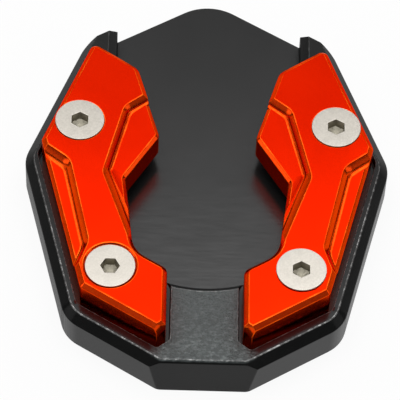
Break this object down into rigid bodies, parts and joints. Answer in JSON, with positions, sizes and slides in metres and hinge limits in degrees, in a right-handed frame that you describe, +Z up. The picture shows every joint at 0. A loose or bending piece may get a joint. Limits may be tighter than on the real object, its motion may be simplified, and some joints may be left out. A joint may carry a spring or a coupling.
{
  "type": "kickstand foot enlarger",
  "caption": "Flat pad with an open-backed pocket and screwed-on clamp plates that grip a motorbike's side-stand foot and spread its load on soft ground.",
  "frame": {"origin": "middle of the underside, at ground level", "axes": "+Z up out of the pocket, +Y out of the pocket's open back, X across the two clamps"},
  "size_m": [0.0892, 0.113, 0.0176],
  "materials": {
    "base_black": "satin black anodised",
    "clamp_red": "bright red-orange anodised",
    "screw_steel": "satin stainless"
  },
  "bodies": {
    "root": {"base_plate": "base_black", "left_clamp": "clamp_red", "right_clamp": "clamp_red", "clamp_screws": "screw_steel"}
  },
  "joints": []
}
